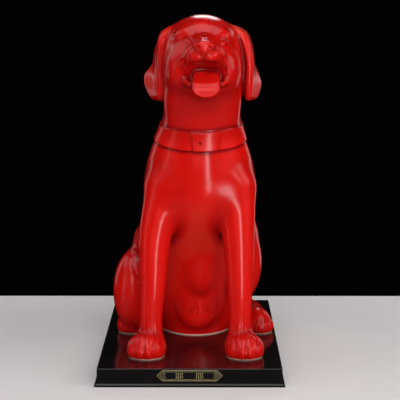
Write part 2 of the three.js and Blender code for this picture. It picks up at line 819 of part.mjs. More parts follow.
function plinthGeometry() {
  const positions = [];
  const corners = [];
  const levels = plinthProfile();
  for (const [inset, z] of levels) {
    const x = overallWidth / 2 - inset;
    const y = overallLength / 2 - inset;
    positions.push(-x, -y, z, x, -y, z, x, y, z, -x, y, z);
  }
  for (let level = 1; level < levels.length; level++) {
    for (let side = 0; side < 4; side++) {
      const low = (level - 1) * 4;
      const next = (side + 1) % 4;
      corners.push(low + side, low + next, low + 4 + next);
      corners.push(low + side, low + 4 + next, low + 4 + side);
    }
  }
  const top = (levels.length - 1) * 4;
  corners.push(0, 2, 1, 0, 3, 2, top, top + 1, top + 2, top, top + 2, top + 3);
  const geometry = new THREE.BufferGeometry();
  geometry.setAttribute('position', new THREE.Float32BufferAttribute(positions, 3));
  geometry.setIndex(corners);
  geometry.computeVertexNormals();
  return geometry;
}

// Nameplate: a long plate with pointed ends and a raised border. Two groups of plain bars stand on it
const plate = {
  width: 92,
  height: 16.6,
  thick: 0.8,
  point: 8,
  margin: 1.2,
  line: 0.8,
  raise: 0.3,
  centreZ: 15.6,
};
const bars = { groups: [-15, 13], rows: 4, pitch: 2.4, thick: 1, long: 9, short: 6 };
const slantPerMargin = 1.4;

function plateShape(shrink) {
  const x = plate.width / 2 - shrink * slantPerMargin;
  const y = plate.height / 2 - shrink;
  const shoulder = x - plate.point;
  const shape = new THREE.Shape();
  shape.moveTo(-x, 0);
  shape.lineTo(-shoulder, -y);
  shape.lineTo(shoulder, -y);
  shape.lineTo(x, 0);
  shape.lineTo(shoulder, y);
  shape.lineTo(-shoulder, y);
  shape.closePath();
  return shape;
}

function plateGeometry() {
  const raised = plate.thick + plate.raise;
  const sheet = new THREE.ExtrudeGeometry(plateShape(0), { depth: plate.thick, bevelEnabled: false });
  const frame = plateShape(plate.margin);
  frame.holes.push(plateShape(plate.margin + plate.line));
  const border = new THREE.ExtrudeGeometry(frame, { depth: raised, bevelEnabled: false });
  let solid = solidOf(sheet).add(solidOf(border));
  for (const x of bars.groups) {
    for (let row = 0; row < bars.rows; row++) {
      const bar = new THREE.BoxGeometry(row % 2 ? bars.short : bars.long, bars.thick, raised);
      bar.translate(x, (row - (bars.rows - 1) / 2) * bars.pitch, raised / 2);
      solid = solid.add(solidOf(bar));
    }
  }
  return geometryOf(solid);
}

// The pieces, each with its own finish
const dog = new THREE.Mesh(
  dogGeometry(),
  new THREE.MeshStandardMaterial({ color: 0xc8120e, roughness: 0.1, metalness: 0 }),
);
dog.name = 'dog';

const base = new THREE.Mesh(
  plinthGeometry(),
  new THREE.MeshStandardMaterial({ color: 0x141214, roughness: 0.2, metalness: 0 }),
);
base.name = 'plinth';

const nameplate = new THREE.Mesh(
  plateGeometry(),
  new THREE.MeshStandardMaterial({ color: 0xb89a4e, roughness: 0.35, metalness: 1 }),
);
nameplate.name = 'nameplate';
nameplate.rotation.x = Math.PI / 2;
nameplate.position.set(0, -(overallLength / 2 - plinth.inset), plate.centreZ);

const figure = new THREE.Group();
figure.add(dog, base, nameplate);
export default figure;
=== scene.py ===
import math

import bpy
import numpy as np
from mathutils import Euler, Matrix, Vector


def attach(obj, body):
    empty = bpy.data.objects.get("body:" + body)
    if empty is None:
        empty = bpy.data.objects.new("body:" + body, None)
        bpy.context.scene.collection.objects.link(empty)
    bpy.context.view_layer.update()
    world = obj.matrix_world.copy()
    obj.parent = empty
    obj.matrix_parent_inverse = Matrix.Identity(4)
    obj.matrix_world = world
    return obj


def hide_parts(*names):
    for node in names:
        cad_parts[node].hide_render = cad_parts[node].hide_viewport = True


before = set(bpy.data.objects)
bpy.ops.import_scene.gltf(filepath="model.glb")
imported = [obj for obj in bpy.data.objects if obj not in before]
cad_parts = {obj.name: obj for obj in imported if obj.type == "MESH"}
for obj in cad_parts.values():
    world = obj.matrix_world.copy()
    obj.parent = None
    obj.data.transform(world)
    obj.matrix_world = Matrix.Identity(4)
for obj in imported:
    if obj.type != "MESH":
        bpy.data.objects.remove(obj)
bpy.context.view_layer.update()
mm = 0.001


# The camera stands at the photograph's viewing angle, fitted to the plinth's corners
camera = {
    "place": (0.019, -1.9312, 0.5342),
    "downDegrees": 9.09,
    "turnDegrees": 0.16,
    "focalPixels": 1316.3,
    "imagePixels": 400,
    "sensor": 36.0,
}


def addObject(name, data):
    item = bpy.data.objects.new(name, data)
    bpy.context.collection.objects.link(item)
    return item


def addCamera():
    data = bpy.data.cameras.new("camera")
    data.sensor_width = camera["sensor"]
    data.lens = camera["sensor"] * camera["focalPixels"] / camera["imagePixels"]
    item = addObject("camera", data)
    item.location = camera["place"]
    item.rotation_euler = (math.radians(90 - camera["downDegrees"]), 0, math.radians(camera["turnDegrees"]))
    bpy.context.scene.camera = item


# Lights are panels, and glow is their brightness to the eye. The fills only light the colour
fills = {
    "frontFill": {"place": (0, -2.7, 1.1), "aim": (0, 0, 0.25), "size": (2.6, 1.8), "glow": 4.6},
    "fillLeft": {"place": (-2.0, -0.8, 1.2), "aim": (0, 0, 0.35), "size": (1.4, 1.5), "glow": 2.0},
    "fillRight": {"place": (2.0, -0.8, 0.8), "aim": (0, 0, 0.28), "size": (1.4, 1.5), "glow": 4.0},
}
# These also show in the glaze, where the photograph has its highlights
panels = {
    "softboxRight": {"place": (1.5, -1.05, 1.3), "aim": (0, 0, 0.3), "size": (0.4, 0.55), "glow": 1.6},
    "sideboxRight": {"place": (1.8, -0.15, 1.2), "aim": (0, 0, 0.35), "size": (0.8, 0.9), "glow": 1.1},
    "softboxLeft": {"place": (-1.4, 0.5, 1.5), "aim": (0, 0, 0.4), "size": (1.0, 0.9), "glow": 0.5},
    "topPanel": {"place": (0, -0.3, 2.2), "aim": (0, 0, 0.2), "size": (2.0, 1.6), "glow": 1.2},
    "overFront": {"place": (0.05, -1.75, 1.65), "aim": (0, -0.1, 0.4), "size": (1.3, 0.9), "glow": 1.6},
    "hairLight": {"place": (0.1, 1.6, 1.25), "aim": (0, -0.09, 0.5), "size": (0.5, 0.4), "glow": 5},
    "window": {"place": (0.62, -1.8, 0.30), "aim": (0, -0.1, 0.25), "size": (0.3, 1.1), "glow": 6},
    "leftStrip": {"place": (-1.5, -0.5, 0.35), "aim": (0, 0, 0.25), "size": (0.15, 1.3), "glow": 0.8},
    "rimLeft": {"place": (-1.0, 0.9, 0.6), "aim": (0, 0, 0.3), "size": (0.15, 1.3), "glow": 1.0},
    "rimRight": {"place": (0.9, 1.3, 0.45), "aim": (0, 0, 0.3), "size": (0.2, 1.3), "glow": 1.0},
}
surround = {"color": "#020202", "strength": 1.0}


def linear(hexColor):
    channels = [int(hexColor[i:i + 2], 16) / 255 for i in (1, 3, 5)]
    return tuple(c / 12.92 if c <= 0.04045 else ((c + 0.055) / 1.055) ** 2.4 for c in channels) + (1.0,)


def addLights():
    for name, spec in {**fills, **panels}.items():
        data = bpy.data.lights.new(name, "AREA")
        data.shape = "RECTANGLE"
        data.size, data.size_y = spec["size"]
        data.energy = spec["glow"] * math.pi * spec["size"][0] * spec["size"][1]
        item = addObject(name, data)
        item.location = spec["place"]
        toward = Vector(spec["aim"]) - Vector(spec["place"])
        item.rotation_euler = toward.to_track_quat("-Z", "Y").to_euler()
        item.visible_camera = False
        item.visible_glossy = name in panels
    world = bpy.data.worlds.new("studio")
    world.use_nodes = True
    background = world.node_tree.nodes["Background"]
    background.inputs["Color"].default_value = linear(surround["color"])
    background.inputs["Strength"].default_value = surround["strength"]
    bpy.context.scene.world = world
    bpy.context.scene.view_settings.view_transform = "Standard"


addCamera()
addLights()
print("camera and lights are set")


# A form gives the distance in mm from points to its surface, negative inside. Two melt over a blend in mm
def smoothUnion(a, b, blend):
    overlap = np.maximum(blend - np.abs(a - b), 0)
    return np.minimum(a, b) - overlap * overlap / (4 * blend)


def makeForm(distance, at, reach, blend):
    return {"distance": distance, "at": np.array(at, float), "reach": reach, "blend": blend, "cut": False}


def ellipsoid(at, radii, blend, turn=(0, 0, 0)):
    back = np.array(Euler([math.radians(a) for a in turn], "ZYX").to_matrix())
    middle, radii = np.array(at, float), np.array(radii, float)

    def distance(p):
        local = (p - middle) @ back / radii
        scaled = np.sqrt((local * local).sum(-1))
        local = local / radii
        steep = np.sqrt((local * local).sum(-1))
        return scaled * (scaled - 1) / np.maximum(steep, 1e-9)

    return makeForm(distance, at, radii.max(), blend)


# From a to b with a slope at each end, at share t of the way
def curveAt(t, a, b, slopeA, slopeB):
    return ((2 * t**3 - 3 * t**2 + 1) * a + (t**3 - 2 * t**2 + t) * slopeA
            + (3 * t**2 - 2 * t**3) * b + (t**3 - t**2) * slopeB)


# A smooth line through points: each span is cut into steps, and wider gaps weigh more
def smoothLine(points, steps):
    points = np.array(points, float)
    ends = np.vstack([2 * points[0] - points[1], points, 2 * points[-1] - points[-2]])
    line = []
    for i in range(1, len(ends) - 2):
        p0, p1, p2, p3 = ends[i - 1:i + 3]
        gaps = [max(np.sum((b - a) ** 2) ** 0.25, 1e-4) for a, b in ((p0, p1), (p1, p2), (p2, p3))]
        slope1 = (p1 - p0) / gaps[0] - (p2 - p0) / (gaps[0] + gaps[1]) + (p2 - p1) / gaps[1]
        slope2 = (p2 - p1) / gaps[1] - (p3 - p1) / (gaps[1] + gaps[2]) + (p3 - p2) / gaps[2]
        line += [curveAt(t, p1, p2, slope1 * gaps[1], slope2 * gaps[1]) for t in np.arange(steps) / steps]
    line.append(points[-1])
    return np.array(line)


# How far along the span from a to b a point lies, as a share, and how it stands off from there
def fromSpan(p, a, b):
    along = b - a
    part = np.clip(((p - a) @ along) / max(along @ along, 1e-9), 0, 1)
    return part, p - a - part[..., None] * along


# A limb swells and bends through its joints, each (x, y, z, radius)
def limb(joints, blend, steps=4):
    joints = np.array(joints, float)
    steps = steps if len(joints) > 2 else 1
    spots = smoothLine(joints[:, :3], steps)
    girths = smoothLine(np.column_stack([joints[:, 3], 0 * joints[:, 3]]), steps)[:, 0]
    at = spots.mean(0)
    reach = (np.linalg.norm(spots - at, axis=1) + girths).max()

    def distance(p):
        nearest = None
        for a, b, thickA, thickB in zip(spots[:-1], spots[1:], girths[:-1], girths[1:]):
            part, away = fromSpan(p, a, b)
            d = np.sqrt((away * away).sum(-1)) - (thickA + (thickB - thickA) * part)
            nearest = d if nearest is None else np.minimum(nearest, d)
        return nearest

    return makeForm(distance, at, reach, blend)


# Forms that melt together first and then join the rest with a blend of their own
def group(forms, blend):
    at = np.mean([form["at"] for form in forms], axis=0)
    reach = max(np.linalg.norm(form["at"] - at) + form["reach"] for form in forms)

    def distance(p):
        d = forms[0]["distance"](p)
        for form in forms[1:]:
            d = smoothUnion(d, form["distance"](p), form["blend"])
        return d

    return makeForm(distance, at, reach, blend)


# A flat tongue along a line in a plane of constant x; joints are (y, z, half width, half thickness)
def ribbon(x, joints, blend):
    joints = smoothLine(joints, 4)
    at = np.array([x, joints[:, 0].mean(), joints[:, 1].mean()])
    reach = np.linalg.norm(joints[:, :2] - at[1:], axis=1).max() + joints[:, 2].max()

    def distance(p):
        across = np.abs(p[..., 0] - x)
        nearest = None
        for a, b in zip(joints[:-1], joints[1:]):
            part, away = fromSpan(p[..., 1:], a[:2], b[:2])
            wide, thick = (a[k] + (b[k] - a[k]) * part for k in (2, 3))
            d = np.sqrt((away * away).sum(-1) + np.maximum(across - wide + thick, 0) ** 2) - thick
            nearest = d if nearest is None else np.minimum(nearest, d)
        return nearest

    return makeForm(distance, at, reach, blend)


# A hanging flap: at each height a bar runs from its front edge to its rear edge.
# Rows are (z, front x, front y, rear x, rear y, half thickness), from the bottom up
def flap(rows, blend, rounding=9):
    rows = smoothLine(rows, 6)
    low, high = rows[0, 0], rows[-1, 0]
    at = np.array([rows[:, [1, 3]].mean(), rows[:, [2, 4]].mean(), (low + high) / 2])
    reach = math.hypot(high - low, np.ptp(rows[:, [1, 3]]), np.ptp(rows[:, [2, 4]])) / 2 + rows[:, 5].max()

    def distance(p):
        z = p[..., 2]
        frontX, frontY, rearX, rearY, half = (np.interp(z, rows[:, 0], rows[:, k]) for k in range(1, 6))
        alongX, alongY = rearX - frontX, rearY - frontY
        awayX, awayY = p[..., 0] - frontX, p[..., 1] - frontY
        part = np.clip((awayX * alongX + awayY * alongY) / (alongX**2 + alongY**2), 0, 1)
        side = np.hypot(awayX - alongX * part, awayY - alongY * part) - half
        return -smoothUnion(-side, (high - low) / 2 - np.abs(z - (high + low) / 2), rounding)

    return makeForm(distance, at, reach, blend)


def cut(form):
    return {**form, "cut": True}


# Torso and neck are lofted through oval sections, each (height, middle in X, front, back, half width)
torso = {
    "sections": [
        (0, 7, -22, 142, 54), (25, 7, -26, 148, 60), (67, 5, -38, 152, 72), (100, 5, -48, 145, 82),
        (135, 5, -60, 130, 87), (170, 6, -80, 106, 86), (200, 9, -102, 82, 80), (235, 13, -126, 56, 80),
        (265, 13.5, -131, 34, 80), (295, 13.5, -129, 14, 74), (320, 14, -127, 0, 66),
        (340, 15.2, -124, -10, 58.6), (362, 16.3, -121, -19, 53.4), (380, 16.5, -119, -24, 50.5),
        (400, 17, -117, -28, 48), (440, 17, -112, -38, 42),
    ],
    "top": 425,
    "crown": 24,  # how softly the neck ends inside the head
    "tableStep": 0.5,
}
collar = {"proud": 2.4, "height": 22, "frontZ": 325, "frontY": -127, "slope": 0.2, "edge": 1.6, "melt": 1.3}


def sectionTable():
    sections = np.array(torso["sections"], float)
    heights = np.arange(0, torso["top"] + 30, torso["tableStep"])
    rows = []
    for z in heights:
        i = min(max(int(np.searchsorted(sections[:, 0], z, side="right")), 1), len(sections) - 1)
        p, a, b, q = (sections[min(max(i + k, 0), len(sections) - 1)] for k in (-2, -1, 0, 1))
        t = min(max((z - a[0]) / (b[0] - a[0]), 0), 1)
        slopeA = (b - p) / (b[0] - p[0]) * (b[0] - a[0])
        slopeB = (q - a) / (q[0] - a[0]) * (b[0] - a[0])
        rows.append(curveAt(t, a, b, slopeA, slopeB))
    return heights, np.array(rows)[:, 1:]


tableHeights, tableRows = sectionTable()


# A raised plate on the collar's front with one hole in it
buckle = {"x": 21.5, "halfWidth": 18, "halfHeight": 10.8, "proud": 1.2, "edge": 1.5,
          "holeX": 14, "hole": 2.0, "holeEdge": 0.6}
farAway = 1000.0


def smoothMeet(a, b, blend):
    return -smoothUnion(-a, -b, blend)


def torsoDistance(p):
    x, y, z = p[..., 0], p[..., 1], p[..., 2]
    middle, front, back, half = (np.interp(z, tableHeights, tableRows[:, k]) for k in range(4))
    depth = (back - front) / 2
    u = (x - middle) / half
    v = (y - (front + back) / 2) / depth
    scaled = np.sqrt(u * u + v * v)
    steep = np.sqrt((u / half) ** 2 + (v / depth) ** 2)
    side = scaled * (scaled - 1) / np.maximum(steep, 1e-9)
    neck = -smoothUnion(-side, torso["top"] - z, torso["crown"])
    inFront = y < (front + back) / 2
    turn = math.atan(collar["slope"])
    across = (z - collar["frontZ"]) * math.cos(turn) - (y - collar["frontY"]) * math.sin(turn)
    band = -smoothUnion(collar["proud"] - side, collar["height"] / 2 - np.abs(across), collar["edge"])
    level = side - collar["proud"] - buckle["proud"]
    plate = smoothMeet(level, np.abs(x - buckle["x"]) - buckle["halfWidth"], buckle["edge"])
    plate = smoothMeet(plate, np.abs(across) - buckle["halfHeight"], buckle["edge"])
    plate = np.where(inFront, plate, farAway)
    hole = np.hypot(x - buckle["holeX"], across) - buckle["hole"]
    hole = smoothMeet(hole, -level - buckle["proud"], buckle["holeEdge"])
    dressed = smoothUnion(smoothUnion(neck, band, collar["melt"]), plate, collar["melt"])
    return np.where(inFront, smoothMeet(dressed, -hole, buckle["holeEdge"]), dressed)


# Limbs and paws, in mm; side is -1 on -X and +1 on +X
body = {"pawX": 7.5, "plinthTop": 25.0, "sunk": 2}
legJoints = [  # spread, shift, y, z and radius, from the shoulder to the heel
    (48, 7, -90, 254, 30), (58.5, 2, -104, 192, 23), (61.5, 1, -116, 118, 18), (63, 0, -118, 72, 16),
    (63, 0, -120, 38, 18),
]


def foreleg(side):
    joints = [(body["pawX"] + side * spread + shift, y, z, r) for spread, shift, y, z, r in legJoints]
    return [limb(joints, 20)]


def pawPlace(x, y, heading, across, ahead):
    turn = math.radians(heading)
    return (x + across * math.cos(turn) + ahead * math.sin(turn),
            y + across * math.sin(turn) - ahead * math.cos(turn))


pawShape = {  # shares of the paw's width, length and height, and toes in mm and degrees
    "padAhead": 0.42, "padUp": 0.3, "padRadii": (0.5, 0.6, 0.7), "toeSpread": 0.84, "toeAhead": 0.87,
    "toeArc": 1.1, "toes": 4, "toeRadii": (6.6, 11, 10), "toeUp": 9.5, "toeFan": 50, "toeTilt": -14,
}


# A paw spreads from its heel at (x, y) towards its toes
def paw(x, y, heading, width, length, height):
    ground, shape = body["plinthTop"], pawShape
    pad = pawPlace(x, y, heading, 0, length * shape["padAhead"])
    radii = [size * share for size, share in zip((width, length, height), shape["padRadii"])]
    forms = [ellipsoid((*pad, ground + height * shape["padUp"]), radii, 8, (0, 0, heading))]
    for i in range(shape["toes"]):
        share = (i + 0.5) / shape["toes"] - 0.5
        ahead = length * (shape["toeAhead"] - shape["toeArc"] * share * share)
        spot = pawPlace(x, y, heading, share * width * shape["toeSpread"], ahead)
        turn = (shape["toeTilt"], 0, heading - share * shape["toeFan"])
        forms.append(ellipsoid((*spot, ground + shape["toeUp"]), shape["toeRadii"], 5, turn))
    return forms


# The paws' heels in mm and where they point in degrees; the right hind paw lies further out
def frontPawSpec(side):
    return {"x": body["pawX"] + side * 67.3, "y": -111, "heading": side * 4, "width": 56, "length": 50,
            "height": 33}


def hindPawSpec(side):
    return {"x": -87 if side < 0 else 100, "y": 22, "heading": side * 8, "width": 41, "length": 41,
            "height": 30}


# Middles and radii; the left knee is folded lower and further out than the right one
haunches = {
    -1: {"knee": ((-82, 12, 86), (34.5, 52, 64)), "flank": ((-40, 30, 160), (43.5, 42, 32))},
    1: {"knee": ((72, 14, 130), (34, 50, 62)), "flank": ((50, 30, 180), (45.5, 42, 36))},
    "rump": (48, 66, 78),
}


def haunch(side):
    shape = haunches[side]
    return [
        ellipsoid(*shape["knee"], 12, (-18, 0, side * 8)),
        ellipsoid(*shape["flank"], 20),
        ellipsoid((4 + side * 46, 76, 104), haunches["rump"], 26, (-30, 0, 0)),
    ]


def hindFoot(side):
    spec = hindPawSpec(side)
    x = spec["x"]
    return [limb([(x - side * 6, 66, 42, 15), (x, 14, 42, 16)], 10), *paw(**spec)]


tailJoints = [(6, 128, 66, 20), (10, 150, 46, 15), (22, 170, 38, 12.5), (44, 184, 35, 10),
              (66, 187, 33, 7.5)]


# Middle, radii, blend and turn of the swellings on the front of the trunk
trunkForms = {
    "chest": ((17.5, -119.5, 291), (15, 7.5, 17), 12),
    "upperBelly": ((14, -50, 126), (12, 8, 22), 18, (14, 0, 0)),
    "lowerBelly": ((11, -29, 60), (21, 8, 16), 20),
}


# On the head, spread is measured out from a middle plane that turns a little as it comes forward
head = {"x": 17, "pivotY": -90, "turn": -0.025}


def mirrored(side, spread, y, z):
    return (head["x"] + (y - head["pivotY"]) * head["turn"] + side * spread, y, z)


# Middle (spread, y, z), radii, blend and turn of the head's swellings
headForms = {
    "crown": ((0, -86, 455), (53, 52, 44.7), 14),
    "sides": ((0, -88, 440), (49, 53, 48), 14),
    "temples": ((0, -106, 438), (50, 40, 38), 14),
    "forehead": ((0, -112, 466), (36, 31, 25), 14),
    "face": ((0, -134, 444), (37, 35, 26), 16),
    "bridge": ((0, -153, 456.5), (15.5, 36, 15.5), 12),
    "jaw": ((3, -134, 401), (28, 35, 12), 20, (-4, 0, 0)),
    "jowls": ((0, -98, 407), (50, 34, 34), 20),
    "gullet": ((0, -104, 392), (43, 32, 27), 26),
    "throat": ((0, -102, 368), (44, 25, 30), 30),
}
headPairs = {
    "cheeks": ((33, -122, 425), (18.5, 36, 25), 16),
    "lipPads": ((10.5, -167, 447.5), (13, 20.5, 11.5), 7, (6, 0, -12)),
    "brows": ((23, -127, 474), (13, 9, 7), 10, (0, 14, 0)),
}
flewJoints = [(13, -163, 446, 11.5), (20, -153, 437, 10), (27, -141, 429, 8)]  # the hanging upper lip


def headForm(side, at, radii, blend, turn=(0, 0, 0)):
    return ellipsoid(mirrored(side, *at), radii, blend, (turn[0], side * turn[1], side * turn[2]))


def skull():
    forms = [headForm(1, *spec) for spec in headForms.values()]
    for side in (-1, 1):
        cheek, lipPad, brow = (headForm(side, *spec) for spec in headPairs.values())
        flew = limb([(*mirrored(side, *at), r) for *at, r in flewJoints], 9)
        forms += [cheek, lipPad, flew, brow]
    return forms


tongue = {
    "shift": 3.2,
    "line": [(-126, 425, 14, 5), (-146, 421.5, 17, 5), (-160, 417.5, 18, 5), (-172, 412.5, 18.6, 4.6),
             (-180, 408.4, 18.8, 4.2), (-184.4, 404, 18.4, 3.8), (-186, 400.4, 16.8, 3.6),
             (-186.4, 398, 14.4, 3.4), (-186.6, 396.3, 11.4, 3.2), (-186.6, 395.2, 7.5, 3)],
    "bumps": [(-7, -157, 419.5), (6.5, -163, 417)], "rimZ": 407, "rimDrop": 13, "rimHalf": 16.4,
}


def mouth():
    shift = tongue["shift"]
    x = mirrored(1, shift, -170, 410)[0]
    forms = [
        cut(ellipsoid(mirrored(1, shift, -174, 424.5), (31.5, 27, 14.5), 6, (-8, 0, 0))),
        ribbon(x, tongue["line"], 5),
    ]
    forms += [ellipsoid((x + across, y, z), (6, 9, 4.5), 4, (16, 0, 0)) for across, y, z in tongue["bumps"]]
    for side in (-1, 1):
        lip = [(side * 30, -144, 415), (side * 27, -155, 411), (side * 21, -165, 408)]
        forms.append(limb([(*mirrored(1, shift + across, y, z), 3) for across, y, z in lip], 6))
    return forms


nose = {"y": -180.5, "z": 459.5, "radii": (13.5, 9, 8.3),
        "nostrilSpread": 8.6, "nostrilRadii": (3.0, 5, 2.7)}


def noseForms():
    forms = [
        ellipsoid(mirrored(0, 0, nose["y"], nose["z"]), nose["radii"], 2, (-14, 0, 0)),
        ellipsoid(mirrored(0, 0, nose["y"] - 1, nose["z"] - 5), (8, 8, 6), 3),
    ]
    for side in (-1, 1):
        at = mirrored(side, nose["nostrilSpread"], nose["y"] - nose["radii"][1], nose["z"] - 1)
        forms.append(cut(ellipsoid(at, nose["nostrilRadii"], 1.5, (0, side * 24, 0))))
    forms.append(cut(limb([(*mirrored(0, 0, -192, 450), 1.2), (*mirrored(0, 0, -190, 441), 1.5)], 1.5)))
    return forms


# Ear rows are (z, front spread, rear spread, half thickness): the left leaf turns to the front,
# and both lobes flare out behind
ears = {
    -1: [(379, 57, 65, 6), (390, 57, 70, 6.5), (402, 56, 75, 6.5), (415, 56, 75, 6), (430, 56.5, 65, 5.5),
         (446, 56.5, 62.5, 5.5), (464, 55, 56, 6.5), (474, 49, 51, 8), (486, 35, 36, 8)],
    1: [(379, 64, 72, 4.5), (390, 64, 76, 5.5), (402, 64, 78.5, 6), (415, 64.5, 75.5, 6), (430, 65, 69.5, 6),
        (446, 63, 67.5, 6.5), (464, 58, 62.5, 7), (474, 52, 56.5, 8), (486, 36, 39.5, 8)],
    "frontY": [(378, -85), (390, -93), (402, -98), (432, -101), (456, -99), (470, -94), (486, -82)],
    "rearY": [(378, -75), (390, -65), (402, -59), (415, -56), (440, -58), (464, -63), (486, -72)],
    "roll": 4.6,
}


def ear(side):
    rows, roll = [], []
    for z, front, rear, half in ears[side]:
        frontY = np.interp(z, *np.array(ears["frontY"]).T)
        rearY = np.interp(z, *np.array(ears["rearY"]).T)
        frontX, rearX = mirrored(side, front, frontY, z)[0], mirrored(side, rear, rearY, z)[0]
        rows.append((z, frontX, frontY, rearX, rearY, half))
        roll.append((frontX, frontY, z, ears["roll"]))
    base = ellipsoid(mirrored(side, 54, -80, 424), (10, 19, 38), 8)
    return [group([flap(smoothLine(rows, 5), 3), base, limb(roll[1:-1], 2)], 5)]


dogForms = [limb(tailJoints, 12)] + [ellipsoid(*spec) for spec in trunkForms.values()]
for dogSide in (-1, 1):
    dogForms += haunch(dogSide) + hindFoot(dogSide) + foreleg(dogSide) + paw(**frontPawSpec(dogSide))
dogForms += skull() + mouth() + noseForms() + ear(-1) + ear(1)

cullMargin = {"blends": 1.5, "mm": 6}


# The ball round each batch of points
def ballRound(p):
    low, high = p.min(1), p.max(1)
    return (low + high) / 2, np.linalg.norm(high - low, axis=1) / 2


# Points come in batches, shape (batches, points, 3), and a form is only worked out where it can matter
def formsDistance(p):
    d = torsoDistance(p)
    middle, radius = ballRound(p)
    for form in dogForms:
        clear = np.linalg.norm(middle - form["at"], axis=1) - form["reach"] - radius
        edge = -d.min(1) if form["cut"] else d.max(1)
        near = np.nonzero(clear <= edge + cullMargin["blends"] * form["blend"] + cullMargin["mm"])[0]
        if len(near) == 0:
            continue
        e = form["distance"](p[near])
        if form["cut"]:
            d[near] = -smoothUnion(-d[near], e, form["blend"])
        else:
            d[near] = smoothUnion(d[near], e, form["blend"])
    return np.maximum(d, body["plinthTop"] - body["sunk"] - p[..., 2])


strokes = []  # shallow grooves and ridges, each along a line that is laid on the forms' surface


# A stroke starts off the surface and is laid on it along one direction, such as (0, 1, 0) from the front
def addStroke(points, width, depth, toward=(0, 1, 0), ends=0.5, steps=4):
    line = smoothLine(points, steps)
    along = np.linspace(0, 1, len(line))
    fade = np.minimum(1, np.minimum(along, 1 - along) / ends + 0.05)
    strokes.append({"line": line, "toward": np.array(toward, float) / np.linalg.norm(toward),
                    "width": width, "depth": depth * fade})


laying = {"rounds": 45, "mostBack": 2, "mostAhead": 12, "stepShare": 0.8, "landedWithin": 0.5, "reach": 2.5}


def layStrokes():
    spots = np.concatenate([stroke["line"] for stroke in strokes])[:, None, :]
    toward = np.concatenate([0 * stroke["line"] + stroke["toward"] for stroke in strokes])[:, None, :]
    for _ in range(laying["rounds"]):
        ahead = np.clip(formsDistance(spots), -laying["mostBack"], laying["mostAhead"])
        spots = spots + ahead[..., None] * toward * laying["stepShare"]
    landed = np.abs(formsDistance(spots))[:, 0] < laying["landedWithin"]
    spots, first = spots[:, 0, :], 0
    for stroke in strokes:
        span = slice(first, first + len(stroke["line"]))
        first = span.stop
        line, depth = spots[span][landed[span]], stroke["depth"][landed[span]]
        middle = line.mean(0) if len(line) else np.zeros(3)
        reach = np.linalg.norm(line - middle, axis=1).max(initial=0) + laying["reach"] * stroke["width"]
        stroke.update(line=line, depth=depth, at=middle, reach=reach)
    missed = [k for k, stroke in enumerate(strokes) if len(stroke["line"]) < 2]
    for k in reversed(missed):
        strokes.pop(k)
    print("strokes off the surface:", missed, int((~landed).sum()), "points")


def strokeDepth(p):
    total = np.zeros(p.shape[:-1])
    middle, radius = ballRound(p)
    for stroke in strokes:
        near = np.nonzero(np.linalg.norm(middle - stroke["at"], axis=1) < stroke["reach"] + radius)[0]
        if len(near) == 0:
            continue
        q = p[near]
        best = np.zeros(q.shape[:-1])
        line, depth = stroke["line"], stroke["depth"]
        for a, b, depthA, depthB in zip(line[:-1], line[1:], depth[:-1], depth[1:]):
            part, away = fromSpan(q, a, b)
            fall = np.exp(-(away * away).sum(-1) / stroke["width"] ** 2)
            value = (depthA + (depthB - depthA) * part) * fall
            best = np.where(np.abs(value) > np.abs(best), value, best)
        total[near] += best
    return total


def dogDistance(p):
    return formsDistance(p) + strokeDepth(p)


random = np.random.default_rng(7)
faceMiddle = 19.2


# Lines on the face are given as (spread, z) and laid on from the front
def faceLine(side, points, width, depth, **more):
    addStroke([(faceMiddle + side * spread, -215, z) for spread, z in points], width, depth, **more)


# The eyes are narrow: a low bulge between two lid lines. Half is half the eye's width
eye = {"spread": 24.5, "shift": 2.2, "z": 465, "tilt": 1.5, "half": 7, "open": 3.4,
       "bulge": -0.8, "upperLid": 0.8, "lowerLid": 0.45, "lidWidth": 1.4}


def carveEyes():
    half, lid = eye["half"], eye["open"]
    for side in (-1, 1):
        out, z = eye["spread"] + side * eye["shift"], eye["z"] - side * eye["tilt"]
        inner, outer = (out - half, z - 1.6), (out + half, z + 0.4)
        faceLine(side, [(out - 3, z), (out + 3, z)], 3.8, eye["bulge"], ends=0.2)
        faceLine(side, [inner, (out - 0.5 * half, z + 0.7 * lid), (out + 0.4 * half, z + lid), outer],
                 eye["lidWidth"], eye["upperLid"], ends=0.2)
        faceLine(side, [inner, (out - 0.3 * half, z - lid), (out + 0.5 * half, z - 0.9 * lid), outer],
                 eye["lidWidth"], eye["lowerLid"], ends=0.2)


# Lines drawn in the clay, in mm: a depth above 0 is a groove, and one below 0 a ridge
face = {
    "muzzleCrease": [(12, 466), (17, 458.5), (21.7, 449.5), (25, 441.5), (28, 434.5), (31.5, 427)],
    "muzzleCreaseWidth": 2.1, "muzzleCreaseDepth": 1.3,
    "cheekCrease": [(47, 434), (39, 439.5), (32, 445), (26, 450)],
    "cheekCreaseDepth": {-1: 0.8, 1: 0.3},
    "cheekHairs": 8, "cheekHairLength": (7, 10), "cheekHairDepth": 0.5,
    "earHairs": 3, "earHairSpread": {-1: 60, 1: 66}, "earHairDepth": 0.4,
    "browHairs": 3, "browHairDepth": 0.6,
    "wrinkles": 3, "wrinkleDepth": 0.45,
    "noseArch": [(-15, 455), (-14, 462), (-9, 467.5), (0, 469.5), (9, 467.5), (14, 462), (15, 455)],
    "noseArchDepth": 1.0,
}


